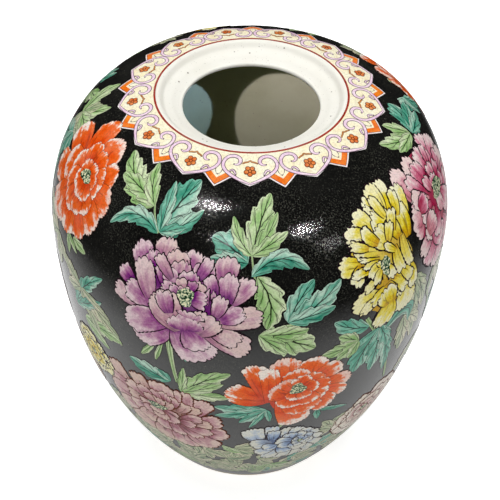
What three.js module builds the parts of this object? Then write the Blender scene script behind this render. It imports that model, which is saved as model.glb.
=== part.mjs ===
// Ginger jar: an ovoid porcelain jar with a sunk lid seat, thrown in sections and luted together.
// Millimetres, +Z up. The origin is the centre of the foot's resting face, and -Y is the front.
import * as THREE from "three";

// Driving dimensions
const JAR_HEIGHT = 300;
const MOUTH_RADIUS = 60; // the crest of the mouth, where the shoulder ends
const BELLY_RADIUS = 131;
const BELLY_HEIGHT = 207;
const BASE_RADIUS = 75.5; // the line of the body carried down to the table
const SHOULDER_ROUNDNESS = 4; // exponent on the radius: 2 is an ellipse, and more is fuller
const TAPER_ROUNDNESS = 2.2; // exponent of the lower body's taper
const WALL = 6.5;
const JOINT_HEIGHT = 150; // where the two halves are luted together
const JOINT_GAP = 0.3; // the slip line between two luted sections
const AROUND = 64; // facets around the axis

const SEAT = {
  outerRadius: 58.4,
  crestWidth: 2.2, // the crest rolls over from the flat of the rim down to the step
  crestHeight: 2.8,
  stepRadius: 55,
  stepDepth: 3.6,
  ledgeStart: 54.1, // the ledge's outer edge, past the fillet under the step
  throatRadius: 42.6,
  throatDepth: 7.8,
  throatLength: 3.1,
  lip: 1.4, // rounding where the ledge turns down into the throat
  ringThickness: 8.6,
};
const FOOT = { height: 8, innerRadius: 63, chamfer: 1.2 };
const FLOOR = { thickness: 7, rise: 2 };
const SEAM = { halfHeight: 7, proud: 2.2 };

// How far above the belly the shoulder's curve would close if it ran on past the mouth's crest.
const SHOULDER_RISE =
  (JAR_HEIGHT - BELLY_HEIGHT) /
  Math.sqrt(1 - (MOUTH_RADIUS / BELLY_RADIUS) ** SHOULDER_ROUNDNESS);

const GLAZES = {
  black_ground: { color: 0x0c0c0e, roughness: 0.12 },
  white_porcelain: { color: 0xe9e9df, roughness: 0.35 },
  bare_biscuit: { color: 0xcfc8b4, roughness: 0.85 },
  inner_glaze: { color: 0x8f8d7c, roughness: 0.4 },
};

function glaze(slot) {
  return new THREE.MeshStandardMaterial({ ...GLAZES[slot], metalness: 0 });
}

// The outer surface: a superellipse above the belly and a power curve below it.
function outerRadius(z) {
  if (z >= BELLY_HEIGHT) {
    const rise = (z - BELLY_HEIGHT) / SHOULDER_RISE;
    return BELLY_RADIUS * (1 - rise ** 2) ** (1 / SHOULDER_ROUNDNESS);
  }
  const fall = (BELLY_HEIGHT - z) / BELLY_HEIGHT;
  return BELLY_RADIUS - (BELLY_RADIUS - BASE_RADIUS) * fall ** TAPER_ROUNDNESS;
}

function outerPoint(z) {
  return new THREE.Vector2(outerRadius(z), z);
}

// The same point moved inwards along the wall's normal.
function innerPoint(z, depth = WALL) {
  const step = 0.01;
  const along = outerPoint(z + step).sub(outerPoint(z - step)).normalize();
  return outerPoint(z).add(new THREE.Vector2(-along.y, along.x).multiplyScalar(depth));
}

// Heights from low to high; a share over 1 crowds them towards the top, where the shoulder turns fastest.
function heights(low, high, count, share = 1) {
  const steps = Array.from({ length: count + 1 }, (_, i) => i / count);
  return steps.map((t) => low + (high - low) * (1 - (1 - t) ** share));
}

// Points on a quarter of an ellipse about (r, z), from straight above it round to its inner side.
function inwardRound(r, z, width, height, count) {
  return Array.from({ length: count + 1 }, (_, i) => {
    const turn = (Math.PI / 2) * (1 + i / count);
    return [r + width * Math.cos(turn), z + height * Math.sin(turn)];
  });
}

// A ring or disc from an outline of (radius, height) points, given anticlockwise.
// A disc's outline starts and ends on the axis.
function turned(name, slot, outline) {
  const isDisc = outline[0][0] === 0;
  const loop = isDisc ? outline : [...outline, outline[0]];
  const points = loop.map(([r, z]) => new THREE.Vector2(r, z));
  const geometry = new THREE.LatheGeometry(points, AROUND);
  const mesh = new THREE.Mesh(geometry, glaze(slot));
  mesh.name = name;
  mesh.rotation.x = Math.PI / 2; // LatheGeometry turns about +Y, and the jar stands along +Z
  return mesh;
}

function pairs(points) {
  return points.map((p) => [p.x, p.y]);
}

// Lower half, from the foot to the luted joint.
function lowerSection() {
  const zs = heights(FOOT.height + JOINT_GAP, JOINT_HEIGHT - JOINT_GAP / 2, 10);
  const outside = zs.map(outerPoint);
  const inside = zs.map((z) => new THREE.Vector2(outerRadius(z) - WALL, z)).reverse();
  return turned("lower_section", "black_ground", pairs([...outside, ...inside]));
}

// Upper half, from the luted joint to the mouth, where it stops against the seat ring.
function upperSection() {
  const zs = heights(JOINT_HEIGHT + JOINT_GAP / 2, JAR_HEIGHT - 0.4, 18, 1.8);
  const edge = SEAT.outerRadius + JOINT_GAP;
  const outside = pairs(zs.map(outerPoint));
  const inside = pairs(zs.map((z) => innerPoint(z))).filter(([r]) => r > edge + 0.5).reverse();
  const crest = [edge, JAR_HEIGHT];
  const under = [edge, inside[0][1] + 0.2];
  return turned("upper_section", "black_ground", [...outside, crest, under, ...inside]);
}

// The sunk ring that a lid would sit in: a rounded crest, a step, a ledge that falls to the throat.
function seatRing() {
  const ledgeEnd = JAR_HEIGHT - SEAT.throatDepth;
  const throatEnd = ledgeEnd - SEAT.throatLength;
  const stepTop = JAR_HEIGHT - SEAT.crestHeight;
  const crest = inwardRound(SEAT.stepRadius + SEAT.crestWidth, stepTop, SEAT.crestWidth, SEAT.crestHeight, 3);
  const lip = inwardRound(SEAT.throatRadius + SEAT.lip, ledgeEnd - SEAT.lip, SEAT.lip, SEAT.lip, 2);
  const outline = [
    [SEAT.outerRadius, JAR_HEIGHT - SEAT.ringThickness],
    [SEAT.outerRadius, JAR_HEIGHT],
    ...crest,
    [SEAT.ledgeStart, JAR_HEIGHT - SEAT.stepDepth],
    ...lip,
    [SEAT.throatRadius, throatEnd + SEAT.lip],
    [SEAT.throatRadius + SEAT.lip, throatEnd],
    [SEAT.stepRadius - SEAT.stepDepth, throatEnd],
  ];
  return turned("lid_seat_ring", "white_porcelain", outline);
}

// A smear of slip pressed over the luted joint on the inside.
function lutingSeam() {
  const zs = heights(JOINT_HEIGHT - SEAM.halfHeight, JOINT_HEIGHT + SEAM.halfHeight, 6);
  const wall = zs.map((z) => [outerRadius(z) - WALL - JOINT_GAP - 0.2, z]);
  const bulge = wall.map(([r, z]) => {
    const t = (z - JOINT_HEIGHT) / SEAM.halfHeight;
    return [r - SEAM.proud * (1 - 0.75 * t * t), z];
  });
  return turned("luting_seam", "inner_glaze", [...wall, ...bulge.reverse()]);
}

// The disc that closes the bottom, resting on the foot ring inside the lower half.
function baseFloor() {
  const low = FOOT.height + JOINT_GAP;
  const rim = outerRadius(low) - WALL - JOINT_GAP;
  const top = [1, 0.8, 0.55, 0.3, 0].map((t) => [rim * t, low + FLOOR.thickness + FLOOR.rise * (1 - t * t)]);
  return turned("base_floor", "inner_glaze", [[0, low], [rim, low], ...top]);
}

// The turned foot, whose underside is left unglazed.
function footRing() {
  const top = FOOT.height;
  const outline = [
    [FOOT.innerRadius + FOOT.chamfer, 0],
    [BASE_RADIUS - FOOT.chamfer, 0],
    [outerRadius(FOOT.chamfer), FOOT.chamfer],
    [outerRadius(top / 2), top / 2],
    [outerRadius(top), top],
    [FOOT.innerRadius, top],
    [FOOT.innerRadius, FOOT.chamfer],
  ];
  return turned("foot_ring", "bare_biscuit", outline);
}

const jar = new THREE.Group();
jar.add(lowerSection(), upperSection(), seatRing(), lutingSeam(), baseFloor(), footRing());

export default jar;
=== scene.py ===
import math

import bpy
import numpy as np
from mathutils import Matrix, Vector


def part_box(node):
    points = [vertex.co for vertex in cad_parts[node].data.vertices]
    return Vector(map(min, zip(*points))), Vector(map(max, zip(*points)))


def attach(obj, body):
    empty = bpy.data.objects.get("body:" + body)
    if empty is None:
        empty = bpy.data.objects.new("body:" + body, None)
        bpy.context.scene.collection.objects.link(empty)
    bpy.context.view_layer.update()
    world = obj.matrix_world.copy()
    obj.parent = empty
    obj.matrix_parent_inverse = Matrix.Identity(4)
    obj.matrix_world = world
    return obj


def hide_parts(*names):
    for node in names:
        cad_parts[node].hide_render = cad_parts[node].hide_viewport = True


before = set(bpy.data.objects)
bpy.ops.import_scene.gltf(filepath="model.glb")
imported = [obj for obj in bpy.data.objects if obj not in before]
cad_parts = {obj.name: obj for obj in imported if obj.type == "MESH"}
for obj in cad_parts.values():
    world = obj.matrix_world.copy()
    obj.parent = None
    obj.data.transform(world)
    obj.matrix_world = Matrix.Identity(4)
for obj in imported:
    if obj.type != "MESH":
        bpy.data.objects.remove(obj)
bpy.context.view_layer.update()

# A ginger jar in overglaze enamels: peonies and leaves on black, and a collar of lappets round the mouth.
# The enamel work is drawn flat on a chart, in millimetres, and then laid on the jar.
# A chart place is (azimuth in degrees, millimetres down the wall from the mouth's crest).
# Azimuth 0 is the front, -Y, and it grows towards +X.

MM = 0.001

# ---------------------------------------------------------------- the jar's form, from the frame

seat_low, seat_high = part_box("lid_seat_ring")
upper_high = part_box("upper_section")[1]
foot_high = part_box("foot_ring")[1]
floor_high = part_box("base_floor")[1]
seam_low, seam_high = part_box("luting_seam")

JAR_HEIGHT = upper_high[2] / MM
BELLY_RADIUS = upper_high[0] / MM
SEAT_RADIUS = seat_high[0] / MM
SEAT_UNDER = seat_low[2] / MM
FOOT_HEIGHT = foot_high[2] / MM
FLOOR_TOP = floor_high[2] / MM
FLOOR_RADIUS = floor_high[0] / MM
JOINT_HEIGHT = (seam_low[2] + seam_high[2]) / 2 / MM
SEAM_HALF = (seam_high[2] - seam_low[2]) / 2 / MM

MOUTH_RADIUS = SEAT_RADIUS + 1.6  # the red line round the mouth
BELLY_HEIGHT = 0.69 * JAR_HEIGHT
BASE_RADIUS = 75.5
SHOULDER_ROUNDNESS = 4
TAPER_ROUNDNESS = 2.2
WALL = 6.5  # how thick the thrown wall is
MOUTH_FALL = (MOUTH_RADIUS / BELLY_RADIUS) ** SHOULDER_ROUNDNESS
SHOULDER_RISE = (JAR_HEIGHT - BELLY_HEIGHT) / math.sqrt(1 - MOUTH_FALL)

STEP_RADIUS = 55
STEP_DEPTH = 3.6
THROAT_RADIUS = 42.6
THROAT_DEPTH = 7.8
THROAT_LENGTH = 3.1
LIP = 1.4
FOOT_INNER_RADIUS = 63
FOOT_CHAMFER = 1.2


def wall_radius(z):
    """The outside's radius at a height: a superellipse above the belly and a power curve below it."""
    z = np.asarray(z, float)
    rise = np.clip((z - BELLY_HEIGHT) / SHOULDER_RISE, 0, 1)
    fall = np.clip((BELLY_HEIGHT - z) / BELLY_HEIGHT, 0, 1)
    shoulder = BELLY_RADIUS * (1 - rise**2) ** (1 / SHOULDER_ROUNDNESS)
    return shoulder - (BELLY_RADIUS - BASE_RADIUS) * fall**TAPER_ROUNDNESS


def wall_heights(top, bottom, count):
    """Heights down the wall, closer together near the mouth, where the shoulder turns fastest."""
    above = (top - BELLY_HEIGHT) * np.linspace(0, 1, count) ** 1.7
    below = np.linspace(BELLY_HEIGHT, bottom, count)[1:]
    return np.concatenate([top - above, below])


chart_z = wall_heights(JAR_HEIGHT, 0, 260)
chart_r = wall_radius(chart_z)
chart_s = np.concatenate([[0], np.cumsum(np.hypot(np.diff(chart_z), np.diff(chart_r)))])


def chart_x(azimuth):
    """Chart millimetres across, measured round the belly."""
    return math.radians(azimuth) * BELLY_RADIUS


def chart_point(place):
    return np.array([chart_x(place[0]), -place[1]])


def plan_point(place):
    """A chart place seen from above, where the collar is drawn."""
    radius = np.interp(place[1], chart_s, chart_r)
    angle = math.radians(place[0])
    return np.array([radius * math.sin(angle), -radius * math.cos(angle)])


# ---------------------------------------------------------------- node trees

class Wire:
    """A value in a node tree. Arithmetic on it adds the nodes that work it out."""

    def __init__(self, nodes, socket):
        self.nodes = nodes
        self.socket = socket

    def calc(self, operation, *others):
        return self.nodes.math(operation, self, *others)

    def __add__(self, other):
        return self.calc("ADD", other)

    def __sub__(self, other):
        return self.calc("SUBTRACT", other)

    def __mul__(self, other):
        return self.calc("MULTIPLY", other)

    def __truediv__(self, other):
        return self.calc("DIVIDE", other)

    def __pow__(self, other):
        return self.calc("POWER", other)

    def __gt__(self, other):
        return self.calc("GREATER_THAN", other)

    def __lt__(self, other):
        return self.calc("LESS_THAN", other)

    def __abs__(self):
        return self.calc("ABSOLUTE")

    def split(self):
        parts = self.nodes.node("ShaderNodeSeparateXYZ", {0: self}).outputs
        return [Wire(self.nodes, part) for part in parts]

    def ramp(self, *stops):
        """Colours or greys along a level from 0 to 1."""
        made = self.nodes.node("ShaderNodeValToRGB", {0: self})
        bar = made.color_ramp
        while len(bar.elements) < len(stops):
            bar.elements.new(0.5)
        for element, (place, colour) in zip(bar.elements, stops):
            element.position = place
            element.color = colour if isinstance(colour, tuple) else (colour, colour, colour, 1)
        return Wire(self.nodes, made.outputs[0])


class Nodes:
    """A node tree being built."""

    def __init__(self, tree):
        self.tree = tree

    def node(self, kind, inputs=None, **settings):
        """A node with its settings. An input is a plain value, or a wire from another node."""
        made = self.tree.nodes.new(kind)
        for key, value in settings.items():
            setattr(made, key, value)
        for key, value in (inputs or {}).items():
            self.feed(made.inputs[key], value)
        return made

    def feed(self, socket, value):
        if isinstance(value, Wire):
            self.tree.links.new(value.socket, socket)
        else:
            socket.default_value = value

    def wire(self, kind, inputs=None, output=0, **settings):
        return Wire(self, self.node(kind, inputs, **settings).outputs[output])

    def math(self, operation, *values):
        return self.wire("ShaderNodeMath", dict(enumerate(values)), operation=operation)

    def vector(self, x=0.0, y=0.0, z=0.0):
        return self.wire("ShaderNodeCombineXYZ", {0: x, 1: y, 2: z})

    def blend(self, factor, first, second, mode="MIX"):
        inputs = {0: factor, 6: first, 7: second}
        return self.wire("ShaderNodeMix", inputs, 2, data_type="RGBA", blend_type=mode)

    def mix_shaders(self, factor, first, second):
        return self.wire("ShaderNodeMixShader", {0: factor, 1: first, 2: second})

    def on_rays(self, kind):
        """1 for one kind of ray and 0 for the rest."""
        return self.wire("ShaderNodeLightPath", output=f"Is {kind} Ray")


# ---------------------------------------------------------------- materials

def tint(red, green, blue):
    """A colour given as 0 to 255, as linear light."""
    parts = [c / 255 for c in (red, green, blue)]
    return tuple(c / 12.92 if c <= 0.04045 else ((c + 0.055) / 1.055) ** 2.4 for c in parts) + (1.0,)


def palette(*colours):
    return [tint(*colour) for colour in colours]


class Material(Nodes):
    """A material whose pattern is read from the object's own coordinates."""

    def __init__(self, name):
        self.material = bpy.data.materials.new(name)
        self.material.use_nodes = True
        super().__init__(self.material.node_tree)
        self.shader = self.tree.nodes["Principled BSDF"]
        self.place = self.wire("ShaderNodeTexCoord", output="Object")

    def give(self, inputs):
        for name, value in inputs.items():
            self.feed(self.shader.inputs[name], value)

    def cloud(self, scale, detail=2.0, roughness=0.5, where=None):
        inputs = {"Vector": where or self.place, "Scale": scale, "Detail": detail, "Roughness": roughness}
        return self.wire("ShaderNodeTexNoise", inputs)

    def specks(self, scale, size):
        """1 on small scattered spots and 0 elsewhere."""
        inputs = {"Vector": self.place, "Scale": scale, "Randomness": 1.0}
        spot = self.wire("ShaderNodeTexVoronoi", inputs, "Distance", feature="F1")
        return spot.ramp((size * 0.6, 1.0), (size, 0.0))

    def relief(self, height, strength, distance=0.0003):
        inputs = {"Height": height, "Strength": strength, "Distance": distance}
        self.give({"Normal": self.wire("ShaderNodeBump", inputs)})

    def marks(self):
        """The brush marks stored on each painted shape: across it, along it, and its own random tone."""
        return self.wire("ShaderNodeAttribute", output="Vector", attribute_name="marks").split()

    def enamel(self, body, gloss, streaks):
        """What every enamel shares: a stippled body, uneven gloss, and a surface that follows the brush."""
        thin = self.cloud(75, 4)
        veiled = self.blend(thin.ramp((0.45, 0.0), (0.8, 0.08)), body, tint(250, 246, 232))
        stipple = self.cloud(900, 3, 0.65).ramp((0.38, 0.62), (0.56, 1.0))
        stippled = self.blend(0.5, veiled, stipple, "MULTIPLY")
        self.give({
            "Base Color": self.blend(self.specks(700, 0.15) * 0.4, stippled, tint(62, 46, 44)),
            "Roughness": thin.ramp((0.3, gloss * 0.8), (0.7, gloss * 1.35)),
            "IOR": 1.22,
        })
        self.relief(streaks * 0.6 + self.cloud(520, 2), 0.25)
        return self.material


def black_ground_glaze():
    """Deep black enamel with an orange-peel surface. Fine grey speckle is painted into the colour in broad
    patches as a painted sheen, standing for light caught by the orange peel; its small grey spots are partly
    dust specks and partly painted sparkle.
    """
    glaze = Material("black_ground")
    shades = palette((8, 8, 7), (15, 15, 14), (27, 27, 25))
    ground = glaze.cloud(22, 4).ramp(*zip((0.3, 0.55, 0.8), shades))
    # Painted sheen: broad patches where fine grey speckle stands for light caught by the orange peel; the
    # roughness follows these patches too.
    sheen_patches = glaze.cloud(34, 5, 0.6).ramp((0.36, 0.28), (0.66, 1.0))
    sheen_grain = glaze.cloud(1000, 3, 0.75).ramp((0.5, 0.0), (0.75, 0.5))
    sheened = glaze.blend(sheen_grain * sheen_patches, ground, tint(112, 112, 99))
    # Small grey spots in the sheen patches: partly dust specks, partly painted sparkle of light.
    dust_and_sheen_dots = glaze.specks(300, 0.1) * (sheen_patches * 0.5)
    glaze.give({
        "Base Color": glaze.blend(dust_and_sheen_dots, sheened, tint(150, 148, 138)),
        "Roughness": sheen_patches.ramp((0.2, 0.05), (0.9, 0.11)),
        "IOR": 1.5,
    })
    glaze.relief(glaze.cloud(480, 4, 0.7) + glaze.specks(620, 0.2) * -0.7, 0.36)
    return glaze.material


def porcelain_glaze(name, colour, stain, speck_share, roughness):
    """Thin glaze on white porcelain, with iron specks and a faint stain."""
    glaze = Material(name)
    stained = glaze.cloud(28, 5, 0.6).ramp((0.42, 0.0), (0.75, 0.55))
    body = glaze.blend(stained, tint(*colour), tint(*stain))
    spotted = glaze.blend(glaze.specks(150, 0.11) * speck_share, body, tint(96, 74, 50))
    grime = glaze.specks(430, 0.13) * (speck_share * 0.6)
    glaze.give({
        "Base Color": glaze.blend(grime, spotted, tint(150, 146, 132)),
        "Roughness": glaze.cloud(90, 3).ramp((0.3, roughness * 0.75), (0.7, roughness * 1.3)),
    })
    glaze.relief(glaze.cloud(260, 3), 0.16)
    return glaze.material


def biscuit():
    """Bare turned porcelain: chalky, with the wheel's fine rings and a toasted edge."""
    glaze = Material("bare_biscuit")
    x, y, z = glaze.place.split()
    radius = (x**2.0 + y**2.0) ** 0.5
    rings = glaze.cloud(1.0, 4, where=glaze.vector(radius * 900.0, z))
    clay = glaze.cloud(70, 5).ramp((0.3, tint(196, 182, 156)), (0.7, tint(224, 215, 196)))
    glaze.give({
        "Base Color": glaze.blend(rings.ramp((0.5, 0.0), (0.8, 0.4)), clay, tint(176, 138, 98)),
        "Roughness": rings.ramp((0.2, 0.72), (0.8, 0.95)),
    })
    glaze.relief(rings, 0.5, 0.0004)
    return glaze.material


def petal_enamel(name, shades, places, wash, fold, drawn):
    """Enamel dabbed deep at the petal's root, which breaks up to a pale tip, with fold lines drawn in."""
    glaze = Material(name)
    across, along, tone = glaze.marks()
    shift = tone * 40.0
    broad = glaze.cloud(1.0, 3, where=glaze.vector(across * 2.6 + shift, along, shift))
    fine = glaze.cloud(1.0, 4, 0.6, glaze.vector(across * 13.0 + shift, along, shift))
    lift = (broad - 0.5) * 0.7 + along
    dabbed = (glaze.cloud(150, 5, 0.62) - 0.5) * 1.1 + lift
    wisps = (fine - 0.5) * 0.26 + dabbed
    graded = ((tone - 0.5) * 0.16 + wisps).ramp(*zip(places, palette(*shades)))
    warm = tone.ramp((0.45, 0.0), (0.9, 0.5)) * broad.ramp((0.3, 0.3), (0.7, 1.0))
    body = glaze.blend(warm, graded, tint(*wash))
    bend = (broad - 0.5) * 1.2 + tone * 5.0
    phase = (across * 1.35 + bend).calc("FRACT")
    near = abs(phase - 0.5).ramp((0.04, 1.0), (0.09, 0.0))
    inner = (fine - 0.5) * 0.9 + along < 0.6
    return glaze.enamel(glaze.blend(near * inner * drawn, body, tint(*fold)), 0.28, fine)


def leaf_enamel(name, deep, middle, light, vein):
    """Translucent leaf enamel, deep beside the rib and light at the edge, with dark drawn veins."""
    glaze = Material(name)
    across, lobes, tone = glaze.marks()
    shift = tone * 40.0
    wash = glaze.cloud(0.8, 3, where=glaze.vector(across * 2.0 + shift, lobes, shift))
    spread = abs(across)
    uneven = (wash - 0.5) * 1.3 + (spread * 0.3 + 0.32)
    level = across * (tone - 0.5) * 0.7 + uneven
    body = level.ramp(*zip((0.1, 0.4, 0.72), palette(deep, middle, light)))
    slanted = spread * -1.35 + (glaze.cloud(190, 2) * 0.35 + lobes)
    half_lobe = (across > 0.0) * 0.5
    fork = abs((slanted + (half_lobe + 0.65)).calc("FRACT") - 0.5)
    first = fork.ramp((0.035, 1.0), (0.08, 0.0))
    branch = abs(fork - (spread * 0.42 - 0.1))
    second = branch.ramp((0.02, 0.8), (0.055, 0.0)) * (spread > 0.36)
    rib = spread.ramp((0.035, 1.0), (0.085, 0.0))
    side_veins = first.calc("MAXIMUM", second) * (spread < 0.86)
    drawn = (side_veins * 0.85).calc("MAXIMUM", rib)
    return glaze.enamel(glaze.blend(drawn, body, tint(*vein)), 0.2, wash)


def flat_enamel(name, *shades):
    """Opaque enamel laid in a small field, a little uneven where the brush overlapped."""
    glaze = Material(name)
    strokes = glaze.cloud(210, 3)
    return glaze.enamel(strokes.ramp(*zip((0.32, 0.7), palette(*shades))), 0.26, strokes)


def ink(name, *shades):
    """Drawn line under the enamel, darker where the brush was loaded."""
    glaze = Material(name)
    load = glaze.cloud(260, 3, 0.6)
    glaze.give({
        "Base Color": load.ramp(*zip((0.35, 0.75), palette(*shades))),
        "Roughness": load.ramp((0.3, 0.22), (0.7, 0.42)),
        "IOR": 1.12,
    })
    return glaze.material


def pistil_enamel():
    """Dabs of dark and pale green, which stand for the seed pods and stamens."""
    glaze = Material("pistil_enamel")
    dabs = glaze.cloud(780, 2)
    shades = palette((26, 52, 34), (106, 144, 108), (240, 236, 196))
    return glaze.enamel(dabs.ramp(*zip((0.42, 0.5, 0.6), shades)), 0.25, dabs)


GROUND = black_ground_glaze()
PORCELAIN = porcelain_glaze("white_porcelain", (247, 245, 235), (236, 232, 217), 0.8, 0.42)
LINER = porcelain_glaze("inner_glaze", (150, 152, 108), (126, 128, 82), 0.4, 0.45)
BISCUIT = biscuit()

# Colour: shades from the root to the tip, where each lies, the warm wash, the fold line and its strength
PETALS = {
    "purple": (
        ((108, 22, 112), (158, 78, 142), (196, 146, 172), (232, 208, 212)), (0.14, 0.38, 0.64, 0.9),
        (214, 180, 156), (74, 34, 52), 0.3,
    ),
    "orange": (
        ((206, 54, 4), (236, 84, 10), (242, 112, 38), (254, 242, 230)), (0.05, 0.5, 0.8, 0.94),
        (232, 96, 30), (132, 30, 8), 0.5,
    ),
    "yellow": (
        ((208, 160, 8), (236, 212, 20), (242, 228, 108), (250, 246, 206)), (0.06, 0.36, 0.6, 0.82),
        (238, 224, 120), (92, 60, 22), 0.6,
    ),
    "pink": (
        ((172, 26, 74), (208, 92, 128), (230, 164, 180), (246, 222, 220)), (0.12, 0.4, 0.66, 0.88),
        (238, 204, 194), (104, 30, 48), 0.55,
    ),
    "mauve": (
        ((128, 54, 66), (176, 112, 126), (204, 160, 162), (228, 200, 188)), (0.1, 0.4, 0.68, 0.9),
        (208, 178, 150), (78, 30, 30), 1.0,
    ),
    "blue": (
        ((92, 112, 150), (142, 166, 200), (190, 204, 220), (230, 230, 218)), (0.08, 0.36, 0.66, 0.88),
        (206, 202, 186), (40, 42, 54), 1.0,
    ),
    "blush": (
        ((184, 122, 124), (222, 184, 178), (236, 216, 204), (248, 240, 226)), (0.08, 0.38, 0.66, 0.88),
        (234, 218, 186), (98, 52, 48), 0.8,
    ),
}
# Tint: the material's name, its deep, middle and light shades, and the veins
LEAVES = {
    "light": ("leaf_green_enamel", (132, 180, 102), (172, 204, 140), (216, 229, 188), (20, 26, 16)),
    "teal": ("teal_enamel", (22, 130, 104), (108, 184, 158), (188, 220, 200), (6, 26, 22)),
    "sage": ("sage_enamel", (132, 160, 122), (188, 198, 158), (232, 226, 194), (30, 32, 24)),
}
CREAM = flat_enamel("cream_enamel", (253, 240, 200), (254, 250, 226))
ROSE = flat_enamel("pale_pink_enamel", (236, 200, 226), (250, 228, 238))
EDGING = flat_enamel("edge_white_enamel", (246, 230, 234), (254, 250, 246))
AMBER = flat_enamel("collar_orange_enamel", (240, 106, 10), (248, 140, 38))
FLORET = flat_enamel("floret_enamel", (220, 98, 28), (238, 154, 84))
RED = flat_enamel("iron_red_line", (150, 40, 26), (176, 60, 42))
BRACKET = flat_enamel("bracket_enamel", (192, 120, 52), (220, 160, 92))
DARK_INK = ink("dark_ink", (20, 8, 16), (52, 26, 40))
BROWN_INK = ink("brown_ink", (66, 24, 10), (128, 58, 24))
COLLAR_INK = ink("collar_ink", (52, 30, 48), (92, 62, 80))
PISTIL = pistil_enamel()


# ---------------------------------------------------------------- flat enamel shapes

COAT = 0.07  # the first coat's height above the glaze
COAT_STEP = 0.017  # how much higher each later coat lies
BURIED = -0.35  # how far a shape's underside lies inside the wall


class Sheet:
    """Painted shapes on one flat chart. Each is a closed slab with an inked border."""

    def __init__(self):
        self.points = []
        self.marks = []
        self.loops = []
        self.sizes = []
        self.inked = []
        self.count = 0

    def slab(self, grid, level, across, along, tone, border=True):
        """A grid of points as a closed slab, whose sides are sunk into the glaze."""
        height = COAT + COAT_STEP * level
        rows, columns = grid.shape[:2]
        top = np.concatenate([grid.reshape(-1, 2), np.full((rows * columns, 1), height)], 1)
        index = np.arange(rows * columns).reshape(rows, columns)
        rim = np.concatenate([index[:-1, 0], index[-1, :-1], index[:0:-1, -1], index[0, :0:-1]])
        under = top[rim] * [1, 1, 0] + [0, 0, BURIED]
        mark = np.stack(np.broadcast_arrays(across[None, :], along[:, None], float(tone)), -1).reshape(-1, 3)
        self.points += [top, under]
        self.marks += [mark, mark[rim]]
        quads = np.stack([index[:-1, :-1], index[1:, :-1], index[1:, 1:], index[:-1, 1:]], -1).reshape(-1, 4)
        ink_cells = np.zeros((rows - 1, columns - 1), bool)
        ink_cells[-1, :] = border
        ink_cells[:, [0, -1]] = border
        low = rows * columns + np.arange(len(rim))
        ahead = np.roll(np.arange(len(rim)), -1)
        walls = np.stack([low, low[ahead], rim[ahead], rim], -1)
        self.loops += [quads.ravel() + self.count, walls.ravel() + self.count, low[::-1] + self.count]
        self.sizes += [4] * (len(quads) + len(walls)) + [len(rim)]
        self.inked += ink_cells.ravel().tolist() + [border] * len(walls) + [False]
        self.count += rows * columns + len(rim)

    def disc(self, centre, outline, rings, level, tone, border=False, fade=1.0):
        """A closed disc: rings of points about a middle point, with its side sunk into the glaze."""
        height = COAT + COAT_STEP * level
        around = len(outline)
        top = np.concatenate([[centre]] + [outline * share + centre for share in rings[1:]])
        top = np.concatenate([top, np.full((len(top), 1), height)], 1)
        rim = top[-around:] * [1, 1, 0] + [0, 0, BURIED]
        share = np.concatenate([[0.0]] + [np.full(around, r) for r in rings[1:]] + [np.full(around, 1.0)])
        self.points += [top, rim]
        self.marks.append(np.stack([share * 0, share * fade, np.full(len(share), tone)], -1))
        here = np.arange(around)
        ahead = np.roll(here, -1)
        fan = np.stack([np.zeros(around, int), 1 + here, 1 + ahead], -1)
        self.loops.append(fan.ravel() + self.count)
        self.sizes += [3] * around
        self.inked += [False] * around
        for ring in range(len(rings) - 1):
            inner = 1 + ring * around
            outer = inner + around
            quads = np.stack([inner + here, outer + here, outer + ahead, inner + ahead], -1)
            self.loops.append(quads.ravel() + self.count)
            self.sizes += [4] * around
            self.inked += [border and ring >= len(rings) - 3] * around
        self.loops.append((len(top) + here)[::-1] + self.count)
        self.sizes += [around]
        self.inked += [False]
        self.count += len(top) + around

    def flat_object(self, name):
        """The sheet as a mesh, still flat, in metres."""
        mesh = bpy.data.meshes.new(name)
        points = np.concatenate(self.points) * MM
        loops = np.concatenate(self.loops)
        sizes = np.array(self.sizes)
        mesh.vertices.add(len(points))
        mesh.vertices.foreach_set("co", points.ravel())
        mesh.loops.add(len(loops))
        mesh.loops.foreach_set("vertex_index", loops.astype(np.int32))
        mesh.polygons.add(len(sizes))
        mesh.polygons.foreach_set("loop_start", np.concatenate([[0], np.cumsum(sizes)[:-1]]).astype(np.int32))
        mesh.update(calc_edges=True)
        marks = mesh.attributes.new("marks", "FLOAT_VECTOR", "POINT")
        marks.data.foreach_set("vector", np.concatenate(self.marks).ravel())
        mesh.attributes.new("ink", "BOOLEAN", "FACE").data.foreach_set("value", self.inked)
        return placed(name, mesh)


def spaced(length, step, least):
    return max(least, int(math.ceil(length / step)) + 1)


def bordered(count, border):
    """Places from 0 to 1 with a narrow strip at the far end for the inked border."""
    return np.concatenate([np.linspace(0, 1 - border, count), [1]])


def both_borders(count, border):
    """Places from -1 to 1 with a narrow strip at each end."""
    return np.concatenate([[-1], np.linspace(-1 + border, 1 - border, count), [1]])


def scallops(places, rng):
    """Round lobes with a nick between them, one lobe to each whole number: 0 in a nick, 1 on a lobe."""
    return np.abs(np.sin(math.pi * (places + rng.random()))) ** 0.85


SIDE_SCALLOP = 4.2  # millimetres from nick to nick down a petal's sides


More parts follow.
